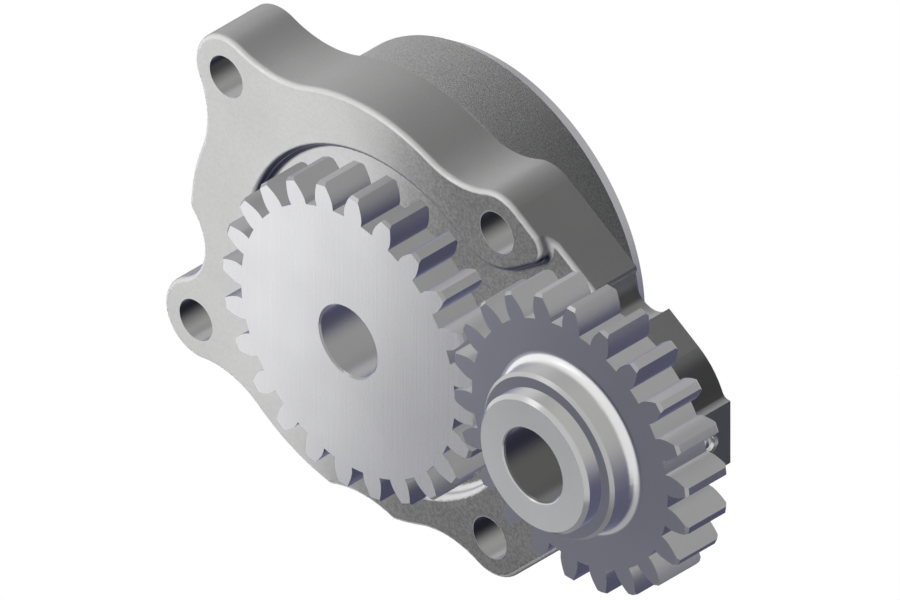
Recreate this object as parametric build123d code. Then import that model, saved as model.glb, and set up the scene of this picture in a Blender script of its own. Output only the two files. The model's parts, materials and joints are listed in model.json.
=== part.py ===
from build123d import *
import math
import os

# Engine oil pump: a rotor pump in a flanged casting, driven by an open gear that also turns an idler gear.
# Every piece is drawn lying down. XY is the flange's mounting face, X to the right and Y up as seen from
# the gears, and heights count from that face towards the gears. The origin is on the drive shaft's axis.
# stand_up() then turns a piece so that +Z is up and the gears look along -Y. All sizes are in millimetres.

# Gear pair
MODULE = 2.5
PRESSURE_ANGLE = 20.0
DRIVE_TEETH = 24
IDLER_TEETH = 22
DRIVE_ADDENDUM = 2.4
IDLER_ADDENDUM = 2.6
ROOT_CLEARANCE = 0.2
TOOTH_THINNING = 0.07
TIP_CHAMFER = 0.55
DRIVE_PHASE = -2.4
IDLER_DIRECTION = 6.35
DRIVE_GEAR_WIDTH = 9.9
IDLER_GEAR_WIDTH = 10.5
GEAR_TO_FLANGE = 0.1
IDLER_STEP = 0.66
FLANK_STEPS = 5
FLANK_CROWDING = 1.5

# Drive gear, its journal and the shaft
DRIVE_BORE_RADIUS = 7.2
DRIVE_BORE_DEPTH = 11.4
JOURNAL_RADIUS = 10.5
SHOULDER_RADIUS = 14.0
BORE_CHAMFER = 0.35
SHAFT_END_CHAMFER = 0.5
JOURNAL_SETBACK = 0.6

# Idler gear, its bush and spindle
IDLER_HUB_RADIUS = 16.65
IDLER_HUB_LENGTH = 5.84
IDLER_HUB_FILLET = 1.9
IDLER_HUB_CHAMFER = 0.66
SPINDLE_RADIUS = 10.0
SPINDLE_BORE_RADIUS = 7.28
SPINDLE_HEAD_RADIUS = 13.9
SPINDLE_HEAD_LENGTH = 3.64
SPINDLE_HEAD_CHAMFER = 0.75
SPINDLE_BORE_CHAMFER = 0.5
SPINDLE_SETBACK = 0.3
OIL_GROOVE_DEPTH = 0.9
OIL_GROOVE_WIDTH = 4.0
OIL_FLUTE_RADIUS = 1.2

# Bushes and washers
BUSH_WALL = 2.0
BUSH_SETBACK = 0.4
WASHER_THICKNESS = 1.5
WASHER_RADIUS = 15.0

# Flange: bolt bosses, rim, crown and the hollows between them
FLANGE_THICKNESS = 14.0
EDGE_FILLET = 1.1
BOSS_RADIUS = 8.2
BOLT_HOLE_RADIUS = 4.2
BOLT_HIGH_LEFT = (-41.0, 33.0)
BOLT_HIGH_RIGHT = (27.9, 33.1)
BOLT_LOW_LEFT = (-48.7, -24.5)
BOLT_LOW_RIGHT = (26.1, -35.1)
RIM_CENTRE = (-7.28, -1.28)
RIM_RADIUS = 43.3
CROWN_CENTRE = (-5.5, 2.4)
CROWN_RADIUS = 41.25
CROWN_LEFT_HOLLOW = 23.0
CROWN_RIGHT_HOLLOW = 18.0
LEFT_HOLLOW = 19.0
WAIST_HOLLOW = 10.2
WAIST_DEPTH = 3.08
WAIST_CORNER_RADIUS = 3.0
LOW_LEFT_HOLLOW = 18.2
LOW_RIGHT_HOLLOW = 19.5
SCALLOP_RADIUS = 23.1
SCALLOP_DEPTH = 2.2
SCALLOP_DIRECTION = -89.2
RIM_CORNER_RADIUS = 1.6

# Arm that carries the idler spindle
ARM_BOSS_RADIUS = 15.6
BLOCK_REACH = 0.65
BLOCK_LOW = 8.3
BLOCK_HIGH = 5.35
BLOCK_FILLET = 1.5
NOTCH_RADIUS = 4.65
NOTCH_FROM_BOLT = 25.4
NOTCH_CHAMFER = 0.5

# Recess under the gears and the raised pad round the upper right bolt
RECESS_DEPTH = 2.7
RECESS_FILLET = 1.1
RECESS_LEAN = 30.0
RECESS_OVERRUN = 8.0
POCKET_CENTRE = (-1.3, -1.2)
POCKET_RADIUS = 34.4
PAD_RADIUS = 10.6
PAD_DIRECTION = 53.4
PAD_CORNER_RADIUS = 4.0
PAD_CORNER_OUT = 5.8
IDLER_POCKET_GAP = 1.6
CUSP_RADIUS = 3.0

# Rotor casing behind the flange
CASING_STEP = 2.0
CASING_LENGTH = 14.4
PLATE_MARGIN = 4.0
PLATE_THICKNESS = 3.2
PLATE_CHAMFER = 0.25

# Rotor set. Its lobes keep one shape, so their circle and radius are multiples of the eccentricity.
ECCENTRICITY = 4.3
ECCENTRIC_DIRECTION = -45.0
INNER_LOBES = 4
TROCHOID_RATIO = 1.256
LOBE_RATIO = 2.42
ROTOR_WIDTH = 12.0
ROTOR_WALL = 3.7
ROTOR_TIP_GAP = 0.06
ROTOR_CURVE_STEPS = 16
VALLEY_CROWDING = 0.8
ROTOR_SIDE_GAP = 0.05
DRIVE_PIN_RADIUS = 2.0
DRIVE_PIN_COVER = 1.5
DRIVE_PIN_GRIP = 2.5

# Oil ports and drillings
PORT_INNER_RADIUS = 13.6
PORT_OUTER_RADIUS = 22.6
PORT_SPAN = 132.0
OUTLET_DEPTH = 7.3
INLET_DEPTH = 5.0
GALLERY_RADIUS = 1.75
GALLERY_HEIGHT = 5.3
GALLERY_BELOW_SPINDLE = 1.9
GALLERY_END = 16.5
GALLERY_CHAMFER = 0.4
BALL_DEPTH = 2.2

# Back plate fasteners
FASTENER_WALL = 4.3
SCREW_DIRECTIONS = (20.0, 140.0, 260.0)
SCREW_RADIUS = 2.0
SCREW_LENGTH = 11.0
TAP_OVERRUN = 1.0
SCREW_HEAD_RADIUS = 3.6
SCREW_HEAD_DEPTH = 2.1
SOCKET_RADIUS = 1.4
SOCKET_DEPTH = 1.3
DOWEL_DIRECTIONS = (80.0, 200.0)
DOWEL_RADIUS = 1.5
DOWEL_LENGTH = 6.0

# Clearances
RUNNING_GAP = 0.04
PRESS_GAP = 0.01
FLOAT_GAP = 0.06

# How far a cut runs past the surface that it opens, and the difference below which two lengths count as one
CUT_OVERRUN = 1.0
SAME_LENGTH = 1e-4

# Sizes that follow from the ones above
drive_pitch_radius = MODULE * DRIVE_TEETH / 2
idler_pitch_radius = MODULE * IDLER_TEETH / 2
centre_distance = drive_pitch_radius + idler_pitch_radius
drive_tip_radius = drive_pitch_radius + DRIVE_ADDENDUM
idler_tip_radius = idler_pitch_radius + IDLER_ADDENDUM
drive_root_radius = drive_pitch_radius - IDLER_ADDENDUM - ROOT_CLEARANCE
idler_root_radius = idler_pitch_radius - DRIVE_ADDENDUM - ROOT_CLEARANCE

floor_height = FLANGE_THICKNESS - RECESS_DEPTH
drive_rear = FLANGE_THICKNESS + GEAR_TO_FLANGE
drive_face = drive_rear + DRIVE_GEAR_WIDTH
idler_face = drive_face + IDLER_STEP
idler_rear = idler_face - IDLER_GEAR_WIDTH
idler_hub_face = idler_face + IDLER_HUB_LENGTH
washer_top = floor_height + FLOAT_GAP + WASHER_THICKNESS
shoulder_height = washer_top + FLOAT_GAP
spindle_head_height = idler_hub_face + FLOAT_GAP

casing_end = -CASING_LENGTH
plate_end = casing_end - PLATE_THICKNESS
rotor_rear = casing_end + ROTOR_SIDE_GAP
rotor_front = rotor_rear + ROTOR_WIDTH
chamber_front = rotor_front + ROTOR_SIDE_GAP
journal_end = chamber_front + JOURNAL_SETBACK
shaft_radius = DRIVE_BORE_RADIUS - PRESS_GAP
shaft_front = drive_face - DRIVE_BORE_DEPTH
drive_pin_height = rotor_front - DRIVE_PIN_COVER - DRIVE_PIN_RADIUS
front_bush_radius = JOURNAL_RADIUS + RUNNING_GAP + BUSH_WALL
idler_bush_radius = SPINDLE_RADIUS + RUNNING_GAP + BUSH_WALL

lobe_circle_radius = TROCHOID_RATIO * (INNER_LOBES + 1) * ECCENTRICITY
lobe_radius = LOBE_RATIO * ECCENTRICITY
outer_root_radius = lobe_circle_radius + 2 * ECCENTRICITY - lobe_radius + ROTOR_TIP_GAP
outer_rotor_radius = outer_root_radius + ROTOR_WALL
chamber_radius = outer_rotor_radius + RUNNING_GAP
fastener_circle_radius = chamber_radius + FASTENER_WALL
plate_radius = fastener_circle_radius + PLATE_MARGIN
casing_radius = plate_radius + CASING_STEP
pin_half_length = shaft_radius + DRIVE_PIN_GRIP


# Plane geometry helpers. An angle is in degrees, counted from +X towards +Y.


def polar(radius, angle, centre=(0, 0)):
    turn = math.radians(angle)
    return (centre[0] + radius * math.cos(turn), centre[1] + radius * math.sin(turn))


def direction(start, end):
    return math.degrees(math.atan2(end[1] - start[1], end[0] - start[0]))


idler_centre = polar(centre_distance, IDLER_DIRECTION)
casing_centre = polar(ECCENTRICITY, ECCENTRIC_DIRECTION + 180)
boss_centres = (BOLT_HIGH_LEFT, BOLT_HIGH_RIGHT, BOLT_LOW_LEFT, BOLT_LOW_RIGHT)
block_face = idler_centre[0] + ARM_BOSS_RADIUS + BLOCK_REACH
gallery_y = idler_centre[1] - GALLERY_BELOW_SPINDLE
outlet_direction = ECCENTRIC_DIRECTION + 90
inlet_direction = ECCENTRIC_DIRECTION - 90


# An outline is a chain of rounds, walked anticlockwise. A round is (centre, radius, sense), where the
# sense is 1 for a convex corner and -1 for a hollow. Rounds that touch run straight into each other, and
# a line tangent to both joins any others. A point is a round with no radius.


def point(x, y):
    return ((x, y), 0.0, 1)


def touching(first, second, radius, sense, side):
    """The round of this radius that touches two others, on the right (1) or left (-1) of the way on."""
    reach = []
    for _, other_radius, other_sense in (first, second):
        same = other_sense == sense
        reach.append(abs(other_radius - radius) if same else other_radius + radius)
    gap = math.dist(first[0], second[0])
    along = (reach[0] ** 2 - reach[1] ** 2 + gap**2) / (2 * gap)
    across = math.sqrt(max(reach[0] ** 2 - along**2, 0))
    heading = direction(first[0], second[0])
    foot = polar(along, heading, first[0])
    return (polar(across, heading - 90 * side, foot), radius, sense)


def joint_points(first, second):
    """Where the outline leaves one round and where it meets the next."""
    start, start_radius, start_sense = first
    end, end_radius, end_sense = second
    gap = math.dist(start, end)
    heading = direction(start, end)
    apart = start_radius + end_radius
    if start_sense == end_sense:
        apart = abs(start_radius - end_radius)
    if start_radius and end_radius and abs(gap - apart) < SAME_LENGTH:
        inward = start_sense == end_sense and start_radius < end_radius
        spot = polar(-start_radius if inward else start_radius, heading, start)
        return spot, spot
    lean = (start_sense * start_radius - end_sense * end_radius) / gap
    normal = heading - math.degrees(math.acos(lean))
    leave = polar(start_sense * start_radius, normal, start)
    arrive = polar(end_sense * end_radius, normal, end)
    return leave, arrive


def outline(rounds):
    """The face inside a closed chain of rounds."""
    count = len(rounds)
    joints = [joint_points(rounds[i], rounds[(i + 1) % count]) for i in range(count)]
    edges = []
    for i, (centre, radius, sense) in enumerate(rounds):
        arrive = joints[i - 1][1]
        leave, onward = joints[i]
        if radius:
            first = direction(centre, arrive)
            sweep = (sense * (direction(centre, leave) - first)) % 360
            middle = polar(radius, first + sense * sweep / 2, centre)
            edges.append(ThreePointArc(arrive, middle, leave))
        if math.dist(leave, onward) > SAME_LENGTH:
            edges.append(Line(leave, onward))
    return make_face(edges)


def disc(radius, low, high, centre=(0, 0)):
    """A solid cylinder between two heights."""
    return Pos(centre[0], centre[1], low) * extrude(Circle(radius), amount=high - low)


def tube(outer, inner, low, high, centre=(0, 0)):
    ring = Circle(outer) - Circle(inner)
    return Pos(centre[0], centre[1], low) * extrude(ring, amount=high - low)


def turned(profile, centre=(0, 0)):
    """A turned piece: its half section is a list of (radius, height) points."""
    section = make_face(Polyline(*profile, close=True))
    return Pos(centre[0], centre[1], 0) * revolve(Plane.XZ * section, Axis.Z)


def cone(low_radius, high_radius, low, high, centre=(0, 0)):
    return turned([(0, low), (low_radius, low), (high_radius, high), (0, high)], centre)


def edges_at(shape, height):
    """The edges that lie wholly at one height."""
    return shape.edges().filter_by_position(Axis.Z, height - SAME_LENGTH, height + SAME_LENGTH)


def lies_over(edge, others):
    """Whether an edge lies straight above or below one of the others, which are at height 0."""
    middle = edge.position_at(0.5)
    return min(other.distance_to(Vector(middle.X, middle.Y, 0)) for other in others) < SAME_LENGTH


# Casting outlines

boss = {centre: (centre, BOSS_RADIUS, 1) for centre in boss_centres}
rim = (RIM_CENTRE, RIM_RADIUS, 1)
crown = (CROWN_CENTRE, CROWN_RADIUS, 1)
arm_boss = (idler_centre, ARM_BOSS_RADIUS, 1)


def left_and_low_edge():
    """The outline from the crown round the left side and the bottom to the lower right boss."""
    waist_rim = (RIM_CENTRE, RIM_RADIUS - WAIST_DEPTH, 1)
    waist = touching(waist_rim, boss[BOLT_LOW_LEFT], WAIST_HOLLOW, -1, 1)
    scallop_reach = RIM_RADIUS + SCALLOP_RADIUS - SCALLOP_DEPTH
    scallop = (polar(scallop_reach, SCALLOP_DIRECTION, RIM_CENTRE), SCALLOP_RADIUS, -1)
    return [
        crown,
        touching(crown, boss[BOLT_HIGH_LEFT], CROWN_LEFT_HOLLOW, -1, 1),
        boss[BOLT_HIGH_LEFT],
        touching(boss[BOLT_HIGH_LEFT], rim, LEFT_HOLLOW, -1, 1),
        rim,
        touching(rim, waist, WAIST_CORNER_RADIUS, 1, 1),
        waist,
        boss[BOLT_LOW_LEFT],
        touching(boss[BOLT_LOW_LEFT], rim, LOW_LEFT_HOLLOW, -1, 1),
        rim,
        touching(rim, scallop, RIM_CORNER_RADIUS, 1, 1),
        scallop,
        touching(scallop, rim, RIM_CORNER_RADIUS, 1, 1),
        rim,
        touching(rim, boss[BOLT_LOW_RIGHT], LOW_RIGHT_HOLLOW, -1, 1),
        boss[BOLT_LOW_RIGHT],
    ]


def crown_start():
    return [boss[BOLT_HIGH_RIGHT], touching(boss[BOLT_HIGH_RIGHT], crown, CROWN_RIGHT_HOLLOW, -1, 1)]


def casting_outline():
    return outline(crown_start() + left_and_low_edge() + arm_end())


def recess_outline():
    """The recess that the gears lie in, open past the arm's sides and end, walked round its low floor."""
    pocket = (POCKET_CENTRE, POCKET_RADIUS, 1)
    idler_pocket_radius = idler_tip_radius + IDLER_POCKET_GAP
    idler_pocket = (idler_centre, idler_pocket_radius, 1)
    cusp = touching(pocket, idler_pocket, CUSP_RADIUS, -1, 1)
    pad = (polar(POCKET_RADIUS + PAD_RADIUS, PAD_DIRECTION, POCKET_CENTRE), PAD_RADIUS, -1)

    top_slope = joint_points(arm_boss, boss[BOLT_HIGH_RIGHT])
    top_heading = direction(*top_slope)
    top_end = polar(PAD_CORNER_OUT, top_heading + 180, top_slope[1])
    pad_corner = (polar(PAD_CORNER_RADIUS, top_heading + 90, top_end), PAD_CORNER_RADIUS, -1)
    top_exit = polar(RECESS_OVERRUN, top_heading - RECESS_LEAN, top_end)

    low_slope = joint_points(boss[BOLT_LOW_RIGHT], arm_boss)
    low_heading = direction(*low_slope)
    foot = polar(ARM_BOSS_RADIUS - CUSP_RADIUS, low_heading - 90, idler_centre)
    reach = idler_pocket_radius + CUSP_RADIUS
    back = math.sqrt(reach**2 - (ARM_BOSS_RADIUS - CUSP_RADIUS) ** 2)
    low_corner = (polar(back, low_heading + 180, foot), CUSP_RADIUS, -1)
    low_end = polar(CUSP_RADIUS, low_heading - 90, low_corner[0])
    low_exit = polar(RECESS_OVERRUN, low_heading + 180 + RECESS_LEAN, low_end)

    walls = [pad_corner, pad, pocket, cusp, idler_pocket, low_corner]
    far = block_face + RECESS_OVERRUN
    outside = [
        point(*low_exit),
        point(far, low_exit[1] - RECESS_OVERRUN),
        point(far, top_exit[1] + RECESS_OVERRUN),
        point(*top_exit),
    ]
    return outline(walls + outside)


def recess():
    """What is cut away for the recess, with the rounding that the casting keeps along its floor."""
    cutter = Pos(0, 0, floor_height) * extrude(recess_outline(), amount=RECESS_DEPTH + CUT_OVERRUN)
    far = block_face + RECESS_OVERRUN
    floor_edges = edges_at(cutter, floor_height)
    end_edges = [edge for edge in floor_edges if edge.bounding_box().max.X > far - CUT_OVERRUN]
    walls = [edge for edge in floor_edges if edge not in end_edges]
    return fillet(walls, RECESS_FILLET)


def notch():
    """The through notch in the arm's upper edge, round in plan, with its upper corner broken."""
    low, high = joint_points(arm_boss, boss[BOLT_HIGH_RIGHT])
    heading = direction(high, low)
    centre = polar(NOTCH_FROM_BOLT, heading, high)
    low_end = -CUT_OVERRUN
    round_cut = disc(NOTCH_RADIUS, low_end, FLANGE_THICKNESS, centre)
    corner = polar(NOTCH_RADIUS, heading + 180, centre)
    side = NOTCH_CHAMFER * math.sqrt(2)
    square = extrude(Rectangle(side, side), amount=FLANGE_THICKNESS - low_end)
    return round_cut + Pos(corner[0], corner[1], low_end) * Rot(0, 0, heading + 45) * square


def port(depth, middle):
    """A kidney shaped port, cut between two heights round the casing's centre."""
    low, high = depth
    half = PORT_SPAN / 2
    end_radius = (PORT_OUTER_RADIUS - PORT_INNER_RADIUS) / 2
    mean = (PORT_OUTER_RADIUS + PORT_INNER_RADIUS) / 2
    lean = math.degrees(math.asin(end_radius / mean))
    first = (polar(mean, middle - half + lean), end_radius, 1)
    last = (polar(mean, middle + half - lean), end_radius, 1)
    inside = ((0, 0), PORT_INNER_RADIUS, -1)
    outside = ((0, 0), PORT_OUTER_RADIUS, 1)
    kidney = outline([first, outside, last, inside])
    return Pos(casing_centre[0], casing_centre[1], low) * extrude(kidney, amount=high - low)


def fastener_spots(directions):
    return [polar(fastener_circle_radius, turn, casing_centre) for turn in directions]


def block_hollow(edge_y, side):
    """The fillet between the arm boss and one of the block's level edges."""
    centre_y = edge_y + side * BLOCK_FILLET
    across = centre_y - idler_centre[1]
    reach = math.sqrt((ARM_BOSS_RADIUS + BLOCK_FILLET) ** 2 - across**2)
    return ((idler_centre[0] + reach, centre_y), BLOCK_FILLET, -1)


def arm_end():
    """The arm's boss and its squared end, which the oil gallery is drilled from."""
    low = idler_centre[1] - BLOCK_LOW
    high = idler_centre[1] + BLOCK_HIGH
    corners = [point(block_face, low), point(block_face, high)]
    return [arm_boss, block_hollow(low, -1)] + corners + [block_hollow(high, 1), arm_boss]


def along_x(radius, start, end, end_radius=None):
    """A drilling along X at the gallery's height, straight or tapered."""
    far = radius if end_radius is None else end_radius
    cut = cone(radius, far, 0, end - start)
    return Pos(start, gallery_y, GALLERY_HEIGHT) * Rot(0, 90, 0) * cut


def casting_form():
    """The casting before any machining."""
    form = extrude(casting_outline(), amount=FLANGE_THICKNESS) - recess()
    outer_edges = casting_outline().edges()
    arm_edges = [edge for edge in edges_at(form, floor_height) if lies_over(edge, outer_edges)]
    form = fillet(edges_at(form, FLANGE_THICKNESS) + arm_edges, EDGE_FILLET)
    return form + disc(casing_radius, casing_end, 0, casing_centre)


def pump_body():
    body = casting_form()
    body -= notch()
    body -= disc(chamber_radius, casing_end, chamber_front, casing_centre)
    body -= disc(front_bush_radius + PRESS_GAP, chamber_front, floor_height)
    body -= port((chamber_front, chamber_front + OUTLET_DEPTH), outlet_direction)
    body -= port((chamber_front, chamber_front + INLET_DEPTH), inlet_direction)
    body -= disc(SPINDLE_RADIUS + PRESS_GAP, 0, floor_height, idler_centre)
    for centre in boss_centres:
        body -= disc(BOLT_HOLE_RADIUS, 0, FLANGE_THICKNESS, centre)
    body -= along_x(GALLERY_RADIUS, GALLERY_END, block_face)
    mouth = GALLERY_RADIUS + GALLERY_CHAMFER
    body -= along_x(GALLERY_RADIUS, block_face - GALLERY_CHAMFER, block_face, mouth)
    tap_end = plate_end + SCREW_LENGTH + TAP_OVERRUN
    for spot in fastener_spots(SCREW_DIRECTIONS):
        body -= disc(SCREW_RADIUS + PRESS_GAP, casing_end, tap_end, spot)
    for spot in fastener_spots(DOWEL_DIRECTIONS):
        body -= disc(DOWEL_RADIUS + PRESS_GAP, casing_end, casing_end + DOWEL_LENGTH / 2, spot)
    return body


def back_plate():
    plate = disc(plate_radius, plate_end, casing_end, casing_centre)
    plate = chamfer(edges_at(plate, plate_end) + edges_at(plate, casing_end), PLATE_CHAMFER)
    plate -= disc(shaft_radius + RUNNING_GAP, plate_end, casing_end)
    for middle in (outlet_direction, inlet_direction):
        plate -= port((plate_end, casing_end), middle)
    sink_radius = SCREW_HEAD_RADIUS + PRESS_GAP
    neck_radius = SCREW_RADIUS + PRESS_GAP
    for spot in fastener_spots(SCREW_DIRECTIONS):
        plate -= disc(neck_radius, plate_end, casing_end, spot)
        plate -= cone(sink_radius, neck_radius, plate_end, plate_end + SCREW_HEAD_DEPTH, spot)
    for spot in fastener_spots(DOWEL_DIRECTIONS):
        plate -= disc(DOWEL_RADIUS + PRESS_GAP, plate_end, casing_end, spot)
    return plate


def back_plate_screws():
    """Countersunk screws, flush with the back plate, each with a hexagon socket."""
    screws = []
    for spot in fastener_spots(SCREW_DIRECTIONS):
        screw = disc(SCREW_RADIUS, plate_end, plate_end + SCREW_LENGTH, spot)
        screw += cone(SCREW_HEAD_RADIUS, SCREW_RADIUS, plate_end, plate_end + SCREW_HEAD_DEPTH, spot)
        socket = extrude(RegularPolygon(SOCKET_RADIUS, 6), amount=SOCKET_DEPTH)
        screw -= Pos(spot[0], spot[1], plate_end) * socket
        screws.append(screw)
    return screws


def back_plate_dowels():
    low = casing_end - DOWEL_LENGTH / 2
    return [disc(DOWEL_RADIUS, low, low + DOWEL_LENGTH, spot) for spot in fastener_spots(DOWEL_DIRECTIONS)]


# Gears


def involute(angle):
    return math.tan(angle) - angle


def gear_face(teeth, tip_radius, root_radius, phase):
    """The outline of an involute spur gear, one tooth centred on the phase angle."""
    pressure = math.radians(PRESSURE_ANGLE)
    pitch_radius = MODULE * teeth / 2
    base_radius = pitch_radius * math.cos(pressure)
    pitch_half = math.pi / (2 * teeth) - TOOTH_THINNING / pitch_radius
    start_radius = max(base_radius, root_radius)

    def half_angle(radius):
        opening = math.acos(min(base_radius / radius, 1))
        return math.degrees(pitch_half + involute(pressure) - involute(opening))

    shares = [(step / FLANK_STEPS) ** FLANK_CROWDING for step in range(FLANK_STEPS + 1)]
    radii = [start_radius + (tip_radius - start_radius) * share for share in shares]
    pitch = 360 / teeth
    edges = []
    for tooth in range(teeth):
        middle = phase + tooth * pitch
        rise = [polar(radius, middle - half_angle(radius)) for radius in radii]
        fall = [polar(radius, middle + half_angle(radius)) for radius in reversed(radii)]
        root_in = polar(root_radius, middle - half_angle(start_radius))
        root_out = polar(root_radius, middle + half_angle(start_radius))
        next_in = polar(root_radius, middle + pitch - half_angle(start_radius))
        if root_radius < base_radius:
            edges.append(Line(root_in, rise[0]))
        edges.append(Spline(*rise))
        edges.append(ThreePointArc(rise[-1], polar(tip_radius, middle), fall[0]))
        edges.append(Spline(*fall))
        if root_radius < base_radius:
            edges.append(Line(fall[-1], root_out))
        edges.append(ThreePointArc(root_out, polar(root_radius, middle + pitch / 2), next_in))
    return make_face(edges)


def toothed_blank(teeth, tip_radius, root_radius, phase, low, high):
    """A spur gear whose blank was turned with chamfered rims before its teeth were cut."""
    gear = Pos(0, 0, low) * extrude(gear_face(teeth, tip_radius, root_radius, phase), amount=high - low)
    edge = tip_radius - TIP_CHAMFER
    rims = [(0, low), (edge, low), (tip_radius, low + TIP_CHAMFER)]
    rims += [(tip_radius, high - TIP_CHAMFER), (edge, high), (0, high)]
    return gear & turned(rims)


def drive_gear():
    """The driving gear, with a long journal behind it that runs in the front bush."""
    gear = toothed_blank(
        DRIVE_TEETH, drive_tip_radius, drive_root_radius, DRIVE_PHASE, drive_rear, drive_face
    )
    gear += disc(SHOULDER_RADIUS, shoulder_height, drive_rear)
    gear += disc(JOURNAL_RADIUS, journal_end, shoulder_height)
    gear -= disc(DRIVE_BORE_RADIUS, journal_end, drive_face)
    mouth = DRIVE_BORE_RADIUS + BORE_CHAMFER
    return gear - cone(DRIVE_BORE_RADIUS, mouth, drive_face - BORE_CHAMFER, drive_face)


def idler_phase():
    """The idler's tooth angle that sets its teeth in the middle of the drive gear's gaps."""
    drive_share = (DRIVE_PHASE - IDLER_DIRECTION) * DRIVE_TEETH / 360
    return IDLER_DIRECTION + 180 - (drive_share + 0.5) * 360 / IDLER_TEETH


def idler_gear():
    gear = toothed_blank(
        IDLER_TEETH, idler_tip_radius, idler_root_radius, idler_phase(), idler_rear, idler_face
    )
    hub = disc(IDLER_HUB_RADIUS, idler_face, idler_hub_face)
    gear += chamfer(edges_at(hub, idler_hub_face), IDLER_HUB_CHAMFER)
    foot = edges_at(gear, idler_face).filter_by(GeomType.CIRCLE)
    foot = [edge for edge in foot if abs(edge.radius - IDLER_HUB_RADIUS) < SAME_LENGTH]
    gear = fillet(foot, IDLER_HUB_FILLET)
    gear += disc(SHOULDER_RADIUS, shoulder_height, idler_rear)
    gear -= disc(idler_bush_radius + PRESS_GAP, shoulder_height, idler_hub_face)
    return Pos(idler_centre[0], idler_centre[1], 0) * gear


# Shaft, spindle, bushes and washers


def drive_shaft():
    end = plate_end + SHAFT_END_CHAMFER
    shaft = disc(shaft_radius, end, shaft_front)
    shaft = chamfer(edges_at(shaft, end) + edges_at(shaft, shaft_front), SHAFT_END_CHAMFER)
    return shaft - cross_bar(DRIVE_PIN_RADIUS + PRESS_GAP, shaft_radius + CUT_OVERRUN)


def cross_bar(radius, half_length):
    """A round bar across the shaft, in line with two of the inner rotor's lobes."""
    bar = Pos(0, 0, -half_length) * extrude(Circle(radius), amount=2 * half_length)
    return Pos(0, 0, drive_pin_height) * Rot(0, 0, lobe_direction()) * Rot(0, 90, 0) * bar


def rotor_drive_pin():
    return cross_bar(DRIVE_PIN_RADIUS, pin_half_length)


def idler_spindle():
    """A headed hollow pin, grooved where the gallery meets it and fluted to carry oil to the bush."""
    head_top = spindle_head_height + SPINDLE_HEAD_LENGTH
    spindle = disc(SPINDLE_HEAD_RADIUS, spindle_head_height, head_top)
    spindle = chamfer(edges_at(spindle, head_top), SPINDLE_HEAD_CHAMFER)
    spindle += disc(SPINDLE_RADIUS, SPINDLE_SETBACK, spindle_head_height)
    spindle -= disc(SPINDLE_BORE_RADIUS, SPINDLE_SETBACK, head_top)
    mouth = SPINDLE_BORE_RADIUS + SPINDLE_BORE_CHAMFER
    spindle -= cone(SPINDLE_BORE_RADIUS, mouth, head_top - SPINDLE_BORE_CHAMFER, head_top)
    low = GALLERY_HEIGHT - OIL_GROOVE_WIDTH / 2
    groove_radius = SPINDLE_RADIUS - OIL_GROOVE_DEPTH
    spindle -= tube(SPINDLE_RADIUS + CUT_OVERRUN, groove_radius, low, low + OIL_GROOVE_WIDTH)
    flute_spot = (0, -(SPINDLE_RADIUS + OIL_FLUTE_RADIUS - OIL_GROOVE_DEPTH))
    spindle -= disc(OIL_FLUTE_RADIUS, GALLERY_HEIGHT, idler_rear, flute_spot)
    return Pos(idler_centre[0], idler_centre[1], 0) * spindle


def front_bush():
    low = chamber_front + BUSH_SETBACK
    return tube(front_bush_radius, JOURNAL_RADIUS + RUNNING_GAP, low, floor_height - BUSH_SETBACK)


def idler_bush():
    low = shoulder_height + BUSH_SETBACK
    high = idler_hub_face - BUSH_SETBACK
    return tube(idler_bush_radius, SPINDLE_RADIUS + RUNNING_GAP, low, high, idler_centre)


def thrust_washer(bore_radius, centre):
    low = floor_height + FLOAT_GAP
    return tube(WASHER_RADIUS, bore_radius, low, washer_top, centre)


def gallery_ball():
    return Pos(block_face - BALL_DEPTH, gallery_y, GALLERY_HEIGHT) * Sphere(GALLERY_RADIUS - PRESS_GAP)


# Rotor set


def lobe_direction():
    """The angle of one lobe of the inner rotor."""
    return (180 - ECCENTRIC_DIRECTION) / INNER_LOBES


def inner_rotor_lobe(valley):
    """Points along one lobe, from a valley to the next: the outer lobes' path, set in by their radius."""
    shift = math.radians(ECCENTRIC_DIRECTION)
    ratio = INNER_LOBES + 1
    inset = lobe_radius + ROTOR_TIP_GAP
    spots = []
    for step in range(ROTOR_CURVE_STEPS + 1):
        share = 2 * math.pi * step / ROTOR_CURVE_STEPS
        turn = math.radians(valley) + (share - VALLEY_CROWDING * math.sin(share)) / INNER_LOBES
        wave = ratio * turn + shift
        x = lobe_circle_radius * math.cos(turn) - ECCENTRICITY * math.cos(wave)
        y = lobe_circle_radius * math.sin(turn) - ECCENTRICITY * math.sin(wave)
        run_x = ratio * ECCENTRICITY * math.sin(wave) - lobe_circle_radius * math.sin(turn)
        run_y = lobe_circle_radius * math.cos(turn) - ratio * ECCENTRICITY * math.cos(wave)
        speed = math.hypot(run_x, run_y)
        spots.append((x - inset * run_y / speed, y + inset * run_x / speed))
    return spots


def inner_rotor_face():
    pitch = 360 / INNER_LOBES
    valleys = [lobe_direction() + (lobe - 0.5) * pitch for lobe in range(INNER_LOBES)]
    return make_face([Spline(*inner_rotor_lobe(valley)) for valley in valleys])


def inner_rotor():
    rotor = Pos(0, 0, rotor_rear) * extrude(inner_rotor_face(), amount=ROTOR_WIDTH)
    rotor -= disc(shaft_radius + PRESS_GAP, rotor_rear, rotor_front)
    gap = DRIVE_PIN_RADIUS + RUNNING_GAP
    depth = rotor_front - drive_pin_height + gap
    slot = extrude(Rectangle(2 * (pin_half_length + RUNNING_GAP), 2 * gap), amount=depth)
    return rotor - Pos(0, 0, rotor_front - depth) * Rot(0, 0, lobe_direction()) * slot


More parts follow.
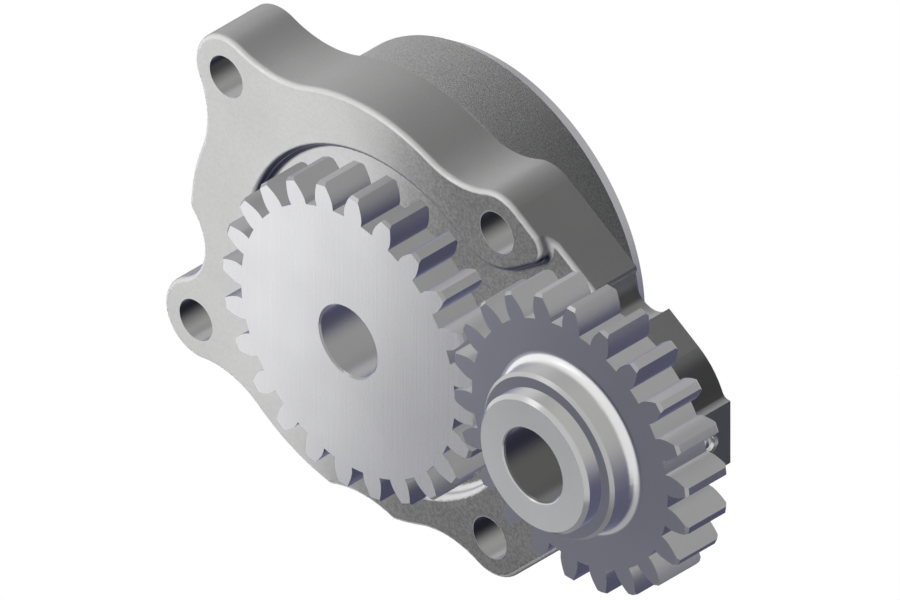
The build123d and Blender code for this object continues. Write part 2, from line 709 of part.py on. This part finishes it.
def outer_rotor():
    cavity = Circle(outer_root_radius)
    for lobe in range(INNER_LOBES + 1):
        spot = polar(lobe_circle_radius, 360 * lobe / (INNER_LOBES + 1))
        cavity -= Pos(spot[0], spot[1]) * Circle(lobe_radius)
    ring = Circle(outer_rotor_radius) - cavity
    return Pos(casing_centre[0], casing_centre[1], rotor_rear) * extrude(ring, amount=ROTOR_WIDTH)


def stand_up(shape):
    return Rot(90, 0, 0) * shape


def write(name, shape):
    pieces = shape if isinstance(shape, list) else [shape]
    solids = [solid for piece in pieces for solid in stand_up(piece).solids()]
    whole = solids[0] if len(solids) == 1 else Compound(solids)
    export_step(whole, f"parts/{name}.step")


def main():
    os.makedirs("parts", exist_ok=True)
    write("pump_body", pump_body())
    write("back_plate", back_plate())
    write("back_plate_screws", back_plate_screws())
    write("back_plate_dowels", back_plate_dowels())
    write("front_bush", front_bush())
    write("drive_thrust_washer", thrust_washer(JOURNAL_RADIUS + RUNNING_GAP, (0, 0)))
    write("drive_gear", drive_gear())
    write("drive_shaft", drive_shaft())
    write("rotor_drive_pin", rotor_drive_pin())
    write("inner_rotor", inner_rotor())
    write("outer_rotor", outer_rotor())
    write("idler_spindle", idler_spindle())
    write("idler_bush", idler_bush())
    write("idler_thrust_washer", thrust_washer(SPINDLE_RADIUS + RUNNING_GAP, idler_centre))
    write("idler_gear", idler_gear())
    write("gallery_ball", gallery_ball())


main()
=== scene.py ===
import json

import bpy
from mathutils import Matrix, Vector


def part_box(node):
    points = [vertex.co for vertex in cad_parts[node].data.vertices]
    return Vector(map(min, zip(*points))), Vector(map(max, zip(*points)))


# Looks for an engine oil pump: bare sand-cast iron, brushed and ground steel. Lengths are in metres.
# Seen from the gears, X points right, Z up and Y away, into the engine.

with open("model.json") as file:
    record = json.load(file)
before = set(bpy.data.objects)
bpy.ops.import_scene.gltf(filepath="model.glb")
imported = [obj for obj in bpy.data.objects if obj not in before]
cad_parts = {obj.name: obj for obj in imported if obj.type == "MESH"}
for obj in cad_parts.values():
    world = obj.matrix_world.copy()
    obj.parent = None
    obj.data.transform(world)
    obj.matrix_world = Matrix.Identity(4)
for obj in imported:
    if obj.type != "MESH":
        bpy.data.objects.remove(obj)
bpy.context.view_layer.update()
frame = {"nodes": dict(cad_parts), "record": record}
nodes = frame["nodes"]

MM = 0.001

# Radii round an axis along Y, inside which a material has another tone.
BOLT_HOLE_EDGE = 4.25 * MM
RECESS_EDGE = 36 * MM
PAD_EDGE = 18 * MM
HUB_FOOT = 16.65 * MM
HUB_FILLET_EDGE = 19 * MM
SPINDLE_BORE_EDGE = 7.5 * MM
PAD_BOLT = (28 * MM, 0, 33 * MM)

# Ranges of a place or a direction over which the casting's skin changes.
FACING_FRONT = (0.9, 0.99)
FACING_DOWN = (-0.35, 0)
BEHIND_FLANGE_Y = (0.2 * MM, 1.0 * MM)
ARM_END_X = (34 * MM, 50 * MM)
ROUGH_AND_SHADE_X = (-30 * MM, 20 * MM)

# How much of the full skin's relief the smoothest places of the casting keep.
LEAST_SKIN = 0.08

# How much a machined surface faces the front or the rear: 1 on a flat face and 0 on a turned side.
FLAT_LEAN = (0.9, 0.98)
CHAMFER_LEAN_START = (0.25, 0.5)
CHAMFER_LEAN_END = (0.82, 0.93)
CHAMFER_SHADE = 0.42

# Streaks are noise with these scales along X, Y and Z, so they run along the axis with the smallest.
GEAR_STREAKS = (3600, 3600, 25)
SPINDLE_STREAKS = (3200, 3200, 90)
PLAIN_STREAKS = (500, 500, 30)

# The camera looks along a space diagonal with no perspective, as the photograph does.
VIEW_BACK = Vector((1, -1, 1)).normalized()
VIEW_TARGET = Vector((9.90, -7.92, 6.17)) * MM
VIEW_WIDTH = 162.05 * MM
VIEW_DISTANCE = 0.9

FLOOR_DROP = 0.55
FLOOR_SIZE = 12.0
SOFT_STRENGTH = 0.06
KEY_PLACE = (-0.16, -0.38, 0.17)
REAR_PLACE = (-0.12, 0.6, -0.06)

# The card behind the pump, and the ranges of x, z or distance over which its tones change.
BACK_Y = 0.16
BACK_X = (-0.7, 0.9)
BACK_Z = (-0.5, 0.9)
BACK_LEFT_X = (-0.2, -0.12)
BACK_RIGHT_X = (-0.1, 0.06)
LAVENDER_Z = (-0.16, 0.1)
VIOLET_Z = (-0.16, 0.14)
LIGHT_MIDDLE = (0.06, -0.02)
LIGHT_REACH = (0.11, 0.15)

# The card below runs from the back card towards the front.
BELOW_HALF_WIDTH = 0.9
BELOW_FRONT_Y = -0.35
BELOW_Z = -0.5

# The corners of the bright card above.
GLINT_CORNERS = [(-0.45, -0.25, 0.25), (-0.25, -0.45, 0.25), (-0.2, -0.4, 0.45), (-0.4, -0.2, 0.45)]

# The card in front: its middle, its reach each way, and the ranges over which its tones change.
FRONT_MIDDLE = Vector((-0.10, -0.15, -0.12))
FRONT_LEFT_REACH = 0.5
FRONT_RIGHT_REACH = 0.625
FRONT_UP_REACH = 0.24
BRIGHTEST_X = (-0.16, -0.128)
DIM_X = (-0.123, -0.1)
DARKEST_Z = (-0.13, -0.11)

# Colours in linear light.
WHITE = (1, 1, 1, 1)
PALE = (0.8, 0.8, 0.8, 1)
SOFT_SKY = (0.95, 0.97, 1.0, 1)
WARM_WHITE = (1.0, 0.995, 0.985)
DEEP_SHADE = (0.03, 0.03, 0.06, 1)
BLUISH_STEEL = (0.305, 0.312, 0.365, 1)
PALE_STEEL = (0.92, 0.93, 0.9, 1)
BRONZE = (0.55, 0.38, 0.18, 1)
LAVENDER = (0.22, 0.22, 0.34, 1)
VIOLET = (0.11, 0.11, 0.18, 1)
DARK_FLOOR = (0.1, 0.1, 0.16, 1)
MID_GREY = (0.48, 0.48, 0.47, 1)
LIGHT_GREY = (0.75, 0.75, 0.76, 1)
DIM_LOW = (0.46, 0.46, 0.485, 1)
DIM_HIGH = (0.09, 0.09, 0.115, 1)


def grey(level, blue=0.0):
    """A grey in linear light, cooled a little by blue."""
    return (level * (1 - blue), level * (1 - blue), level * (1 + blue), 1)


# Node helpers


class Shader:
    """The node tree of a material or the world, with short calls for the nodes that this script uses."""

    def __init__(self, owner, output="ShaderNodeOutputMaterial"):
        self.owner = owner
        owner.use_nodes = True
        self.tree = owner.node_tree
        self.tree.nodes.clear()
        self.output = self.tree.nodes.new(output)

    def node(self, kind, inputs=None, **settings):
        made = self.tree.nodes.new(kind)
        for key, value in settings.items():
            setattr(made, key, value)
        for key, value in (inputs or {}).items():
            self.put(made.inputs[key], value)
        return made

    def put(self, socket, value):
        if isinstance(value, bpy.types.NodeSocket):
            self.tree.links.new(value, socket)
        else:
            socket.default_value = value

    def show(self, made):
        """Makes a shader node the surface of the material, or of the world."""
        self.put(self.output.inputs["Surface"], made.outputs[0])
        return self.owner

    def math(self, operation, first, second=0.0, clamp=False):
        inputs = {0: first, 1: second}
        return self.node("ShaderNodeMath", inputs, operation=operation, use_clamp=clamp).outputs[0]

    def plus(self, first, second):
        return self.math("ADD", first, second)

    def minus(self, first, second, clamp=False):
        return self.math("SUBTRACT", first, second, clamp)

    def times(self, first, second, clamp=False):
        return self.math("MULTIPLY", first, second, clamp)

    def larger(self, first, second):
        return self.math("MAXIMUM", first, second)

    def ramp(self, value, low, high, start=0.0, end=1.0):
        """A smooth step of value from low to high, which runs from start to end."""
        inputs = {"Value": value, "From Min": low, "From Max": high, "To Min": start, "To Max": end}
        return self.node("ShaderNodeMapRange", inputs, interpolation_type="SMOOTHSTEP").outputs[0]

    def mix(self, share, first, second, blend="MIX"):
        """Blends two colours, which the mix node takes as inputs 6 and 7."""
        inputs = {"Factor": share, 6: first, 7: second}
        return self.node("ShaderNodeMix", inputs, data_type="RGBA", blend_type=blend).outputs[2]

    def place(self):
        """Where a point is in the object's frame, in metres."""
        return self.node("ShaderNodeTexCoord").outputs["Object"]

    def stretched(self, scale):
        return self.node("ShaderNodeMapping", {"Vector": self.place(), "Scale": scale}).outputs[0]

    def noise(self, vector, scale, detail=2.0, rough=0.5):
        inputs = {"Vector": vector, "Scale": scale, "Detail": detail, "Roughness": rough}
        return self.node("ShaderNodeTexNoise", inputs).outputs[0]

    def axes(self, vector):
        return self.node("ShaderNodeSeparateXYZ", {"Vector": vector}).outputs

    def facing(self):
        return self.axes(self.node("ShaderNodeNewGeometry").outputs["Normal"])

    def from_axis(self, point):
        """How far a place is from the axis along Y through a point, in metres."""
        inputs = {0: self.stretched((1, 0, 1)), 1: (point[0], 0, point[2])}
        return self.node("ShaderNodeVectorMath", inputs, operation="DISTANCE").outputs["Value"]

    def within(self, gap, edge, fade=0.1 * MM):
        """1 where gap is less than edge, fading to 0 beyond it."""
        return self.ramp(gap, edge, edge + fade, 1, 0)

    def bump(self, height, strength, distance):
        inputs = {"Height": height, "Strength": strength, "Distance": distance}
        return self.node("ShaderNodeBump", inputs).outputs[0]

    def principled(self, **inputs):
        named = {key.replace("_", " "): value for key, value in inputs.items()}
        return self.show(self.node("ShaderNodeBsdfPrincipled", named))


def new_material(name):
    return Shader(bpy.data.materials.new(name))


# Materials


def middle_of(name):
    low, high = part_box(name)
    return [(low[axis] + high[axis]) / 2 for axis in range(3)]


def near_bolt_holes(shader, y):
    """1 on the walls of the bolt holes, whose axes the record gives, and 0 elsewhere."""
    nearest = 1.0
    for mount in frame["record"]["mounts"]:
        if mount["name"].startswith("bolt"):
            nearest = shader.math("MINIMUM", shader.from_axis(mount["pos_m"]), nearest)
    in_flange = shader.within(y, 0)
    return shader.times(shader.within(nearest, BOLT_HOLE_EDGE), in_flange)


def shaded_edges(shader, facing_z):
    """1 on the recess's wall and the pad's edge where they face down."""
    recess = shader.within(shader.from_axis(middle_of("drive_gear")), RECESS_EDGE, 0.5 * MM)
    pad = shader.within(shader.from_axis(PAD_BOLT), PAD_EDGE, 2 * MM)
    return shader.times(shader.larger(recess, pad), shader.ramp(facing_z, *FACING_DOWN, 1, 0))


def cast_iron():
    """A sand-cast skin: smooth on the flange's sides, grainy on its front, rough round the casing."""
    shader = new_material("cast_iron")
    place = shader.place()
    x, y, z = shader.axes(place)
    facing_x, facing_y, facing_z = shader.facing()
    front = shader.ramp(shader.times(facing_y, -1), *FACING_FRONT)
    rear = shader.ramp(y, *BEHIND_FLANGE_Y)

    # The front gets rougher towards the right, and painted shade darkens it the same way.
    rough_and_painted_shade = shader.ramp(shader.minus(x, shader.times(z, 0.15)), *ROUGH_AND_SHADE_X)
    skin = shader.larger(rear, shader.times(front, shader.ramp(rough_and_painted_shade, 0.3, 1, 0.12, 0.95)))
    skin = shader.larger(skin, LEAST_SKIN)
    paleness = shader.ramp(shader.noise(place, scale=70, detail=3), 0.3, 0.7, 0.58, 0.61)
    paleness = shader.minus(paleness, shader.times(front, shader.ramp(rough_and_painted_shade, 0, 1, 0.1, 0.46)))

    # Painted shade darkens the arm's end where it faces right and up.
    painted_shade_facing = shader.times(shader.ramp(facing_x, 0.5, 0.72, 0, 0.4), shader.ramp(facing_z, 0.1, 0.5))
    paleness = shader.minus(paleness, shader.times(shader.ramp(x, *ARM_END_X), painted_shade_facing), clamp=True)

    # The grain is finer round the casing, and its specks follow the skin's roughness.
    coarse = shader.noise(place, scale=1900, rough=0.55)
    fine = shader.noise(place, scale=4200)
    grain = shader.plus(coarse, shader.times(rear, shader.minus(fine, coarse)))
    specks = shader.times(shader.ramp(grain, 0.3, 0.7, -0.3, 0.3), skin)
    paleness = shader.times(paleness, shader.plus(specks, 1), clamp=True)
    colour = shader.mix(paleness, grey(0.06), grey(0.98))
    colour = shader.mix(shaded_edges(shader, facing_z), colour, DEEP_SHADE)

    # The walls of the bolt holes are drilled metal, with painted shade where they face down or right.
    drilled = near_bolt_holes(shader, y)
    painted_wall_shade = shader.ramp(shader.minus(facing_z, facing_x), -0.8, 0.4)
    colour = shader.mix(drilled, colour, shader.mix(painted_wall_shade, grey(0.1), grey(0.6)))
    metal = shader.plus(shader.times(drilled, 0.65), shader.ramp(front, 0, 1, 0.2, 0.3))
    metal = shader.minus(metal, shader.times(rear, 0.16))

    height = shader.plus(shader.times(grain, skin), shader.times(fine, 0.04))
    return shader.principled(
        Base_Color=colour,
        Metallic=metal,
        Roughness=shader.ramp(skin, LEAST_SKIN, 0.7, 0.18, 0.42),
        Specular_IOR_Level=0.15,
        Normal=shader.bump(height, strength=0.7, distance=0.1 * MM),
    )


def brushed(name, face, side, face_rough, side_rough, streak, spread=0.03, inner=None):
    """Machined steel: flat faces with fine streaks, smoother turned sides, and chamfers darkened with
    painted shade.
    Inside inner's edge round its node's axis, turned sides have inner's tone and roughness.
    A fillet between inner's foot and edge is left without the chamfers' painted shade."""
    shader = new_material(name)
    lean = shader.math("ABSOLUTE", shader.facing()[1])
    front = shader.ramp(lean, *FLAT_LEAN)
    flatter = shader.ramp(lean, *CHAMFER_LEAN_END, CHAMFER_SHADE, 0)
    chamfer_painted_shade = shader.times(shader.ramp(lean, *CHAMFER_LEAN_START), flatter)
    if inner:
        gap = shader.from_axis(middle_of(inner["node"]))
        inside = shader.within(gap, inner["edge"])
        side = shader.mix(inside, side, inner["side"])
        side_rough = shader.ramp(inside, 0, 1, side_rough, inner["side_rough"])
        if "foot" in inner:
            filleted = shader.times(inside, shader.ramp(gap, inner["foot"], inner["foot"] + 0.05 * MM))
            chamfer_painted_shade = shader.times(chamfer_painted_shade, shader.minus(1, filleted))
    # Chamfers are darkened towards black as painted shade.
    tone = shader.mix(chamfer_painted_shade, shader.mix(front, side, face), grey(0))

    # Streaks and wide patches run between the tone and a darker one.
    lines = shader.noise(shader.stretched(streak), scale=1.0)
    streaks = shader.times(shader.ramp(lines, 0.25, 0.75, -0.5, 0.5), front)
    patches = shader.ramp(shader.noise(shader.place(), scale=60), 0.3, 0.7, 0.2, 0.8)
    dark = shader.mix(1.0, tone, grey(1 - 2 * spread), blend="MULTIPLY")
    rough = shader.ramp(front, 0, 1, side_rough, face_rough)
    return shader.principled(
        Base_Color=shader.mix(shader.plus(shader.times(streaks, 0.15), patches), dark, tone),
        Metallic=0.95,
        Roughness=shader.plus(rough, shader.times(streaks, 0.025)),
        Normal=shader.bump(streaks, strength=0.005, distance=0.03 * MM),
    )


def drive_gear_steel():
    return brushed(
        "drive_gear_steel",
        face=grey(0.665, 0.012),
        side=grey(0.6, 0.01),
        face_rough=0.28,
        side_rough=0.2,
        streak=GEAR_STREAKS,
        spread=0.05,
    )


def idler_gear_steel():
    """The hub within the idler's face is paler and rougher than the teeth."""
    return brushed(
        "idler_gear_steel",
        face=BLUISH_STEEL,
        side=grey(0.66, 0.01),
        face_rough=0.36,
        side_rough=0.26,
        streak=GEAR_STREAKS,
        inner={
            "node": "idler_gear",
            "edge": HUB_FILLET_EDGE,
            "foot": HUB_FOOT,
            "side": grey(0.8),
            "side_rough": 0.34,
        },
    )


def spindle_steel():
    """The bore through the spindle is darker than its head."""
    return brushed(
        "spindle_steel",
        face=PALE_STEEL,
        side=grey(0.88),
        face_rough=0.3,
        side_rough=0.2,
        streak=SPINDLE_STREAKS,
        inner={"node": "idler_spindle", "edge": SPINDLE_BORE_EDGE, "side": grey(0.2), "side_rough": 0.2},
    )


def plain_steel(name, tone, rough):
    return brushed(name, tone, tone, rough, rough, PLAIN_STREAKS)


def dress(names, material):
    for name in names:
        slots = nodes[name].data.materials
        slots.clear()
        slots.append(material)


def dress_parts():
    dress(["pump_body"], cast_iron())
    dress(["drive_gear"], drive_gear_steel())
    dress(["idler_gear"], idler_gear_steel())
    dress(["idler_spindle"], spindle_steel())
    dress(["back_plate"], plain_steel("plate_steel", grey(0.82, 0.03), 0.25))
    dress(["drive_shaft"], plain_steel("shaft_steel", grey(0.5), 0.3))
    dress(["drive_thrust_washer", "idler_thrust_washer"], plain_steel("washer_steel", grey(0.5), 0.35))
    fasteners = ["back_plate_screws", "back_plate_dowels", "rotor_drive_pin", "gallery_ball"]
    dress(fasteners, plain_steel("fastener_steel", grey(0.6), 0.22))
    dress(["inner_rotor", "outer_rotor"], plain_steel("rotor_steel", grey(0.4), 0.4))
    dress(["front_bush", "idler_bush"], plain_steel("bush_bronze", BRONZE, 0.35))
    # The pieces mirror the studio and not each other, which keeps the gaps between the teeth clear.
    for piece in nodes.values():
        piece.visible_glossy = False


# Stage, light and camera


def show_white(shader, plain, white):
    """White to the camera, in reflections and through glass, and plain to all other rays."""
    ray = shader.node("ShaderNodeLightPath").outputs
    seen = shader.larger(ray["Is Camera Ray"], ray["Is Glossy Ray"])
    seen = shader.larger(seen, ray["Is Transmission Ray"])
    shader.show(shader.node("ShaderNodeMixShader", {0: seen, 1: plain.outputs[0], 2: white.outputs[0]}))


def flat_piece(name, corners, material):
    mesh = bpy.data.meshes.new(name)
    mesh.from_pydata(corners, [], [(0, 1, 2, 3)])
    mesh.materials.append(material)
    return bpy.data.objects.new(name, mesh)


def put_on_stage(piece):
    bpy.context.scene.collection.objects.link(piece)


def make_floor():
    shader = new_material("stage_floor")
    plain = shader.node("ShaderNodeBsdfDiffuse", {"Color": PALE})
    white = shader.node("ShaderNodeEmission", {"Color": WHITE, "Strength": 1.0})
    show_white(shader, plain, white)
    half = FLOOR_SIZE / 2
    corners = [(-half, -half, 0), (half, -half, 0), (half, half, 0), (-half, half, 0)]
    floor = flat_piece("stage_floor", corners, shader.owner)
    floor.location = (0, 0, -FLOOR_DROP)
    put_on_stage(floor)


def make_world():
    world = bpy.data.worlds.new("studio")
    shader = Shader(world, "ShaderNodeOutputWorld")
    soft = shader.node("ShaderNodeBackground", {"Color": SOFT_SKY, "Strength": SOFT_STRENGTH})
    white = shader.node("ShaderNodeBackground", {"Color": WHITE, "Strength": 1.0})
    show_white(shader, soft, white)
    bpy.context.scene.world = world


def make_light(name, place, size, power, colour=(1, 1, 1)):
    """A round lamp that is aimed at the origin, casts no shadow and doesn't show in reflections."""
    data = bpy.data.lights.new(name, "AREA")
    data.shape = "DISK"
    data.size = size
    data.energy = power
    data.color = colour
    data.use_shadow = False
    light = bpy.data.objects.new(name, data)
    light.visible_glossy = False
    light.location = place
    light.rotation_mode = "QUATERNION"
    light.rotation_quaternion = (-Vector(place)).to_track_quat("-Z", "Y")
    bpy.context.scene.collection.objects.link(light)


def add_card(name, corners, colour_at):
    """A card that shows in reflections alone, with its colour from its shader and a place's x, y and z."""
    shader = new_material(name)
    colour = colour_at(shader, *shader.axes(shader.place()))
    shader.show(shader.node("ShaderNodeEmission", {"Color": colour}))
    card = flat_piece(name, corners, shader.owner)
    card.visible_camera = False
    card.visible_diffuse = False
    card.visible_shadow = False
    card.visible_transmission = False
    put_on_stage(card)


def behind(shader, x, y, z):
    """Mid grey above, lavender low on the left, and dark violet low on the right, with a light middle."""
    left_high = shader.ramp(x, *BACK_LEFT_X, 0.62, 0.42)
    left = shader.mix(shader.ramp(z, *LAVENDER_Z), LAVENDER, left_high)
    right = shader.mix(shader.ramp(z, *VIOLET_Z), VIOLET, MID_GREY)
    sides = shader.mix(shader.ramp(x, *BACK_RIGHT_X), left, right)
    # The light middle is for what the rear of the pump mirrors.
    middle_x, middle_z = LIGHT_MIDDLE
    across = shader.math("POWER", shader.minus(x, middle_x), 2)
    above = shader.math("POWER", shader.minus(z, middle_z), 2)
    from_middle = shader.math("SQRT", shader.plus(across, above))
    return shader.mix(shader.ramp(from_middle, *LIGHT_REACH), LIGHT_GREY, sides)


def in_front(shader, x, y, z):
    """Bright on the left and dim on the right, so that the front faces darken from left to right."""
    bright = shader.mix(shader.ramp(x, *BRIGHTEST_X), grey(1.12), grey(1.4))
    dim = shader.mix(shader.ramp(z, *DARKEST_Z), DIM_LOW, DIM_HIGH)
    return shader.mix(shader.ramp(x, *DIM_X), bright, dim)


def add_card_back():
    left, right = BACK_X
    low, high = BACK_Z
    corners = [(left, BACK_Y, low), (right, BACK_Y, low), (right, BACK_Y, high), (left, BACK_Y, high)]
    add_card("card_back", corners, behind)


def add_card_below():
    """A dark violet card under the pump."""
    half = BELOW_HALF_WIDTH
    front = [(-half, BELOW_FRONT_Y, BELOW_Z), (half, BELOW_FRONT_Y, BELOW_Z)]
    back = [(half, BACK_Y, BELOW_Z), (-half, BACK_Y, BELOW_Z)]
    add_card("card_below", front + back, lambda shader, x, y, z: DARK_FLOOR)


def add_card_glint():
    """A bright card above, in front and to the left, which draws the line of light along rounded edges."""
    add_card("card_glint", GLINT_CORNERS, lambda shader, x, y, z: grey(1.8))


def add_card_front():
    """A slanting card below and in front, square to what the front faces reflect towards the camera."""
    rightward = Vector((1, 0, -1)).normalized()
    up = Vector((1, -2, 1)).normalized() * FRONT_UP_REACH
    left = FRONT_MIDDLE - rightward * FRONT_LEFT_REACH
    right = FRONT_MIDDLE + rightward * FRONT_RIGHT_REACH
    add_card("card_front", [left - up, right - up, right + up, left + up], in_front)


def light_stage():
    make_floor()
    make_world()
    make_light("key", KEY_PLACE, size=0.2, power=2.0, colour=WARM_WHITE)
    make_light("rear", REAR_PLACE, size=0.3, power=1.3)
    add_card_back()
    add_card_below()
    add_card_glint()
    add_card_front()


def make_camera():
    data = bpy.data.cameras.new("camera")
    data.type = "ORTHO"
    data.ortho_scale = VIEW_WIDTH
    data.clip_start = 0.01
    data.clip_end = 50
    camera = bpy.data.objects.new("camera", data)
    camera.location = VIEW_TARGET + VIEW_BACK * VIEW_DISTANCE
    camera.rotation_mode = "QUATERNION"
    camera.rotation_quaternion = (-VIEW_BACK).to_track_quat("-Z", "Y")
    bpy.context.scene.collection.objects.link(camera)
    bpy.context.scene.camera = camera


dress_parts()
light_stage()
make_camera()
bpy.context.scene.view_settings.view_transform = "Standard"
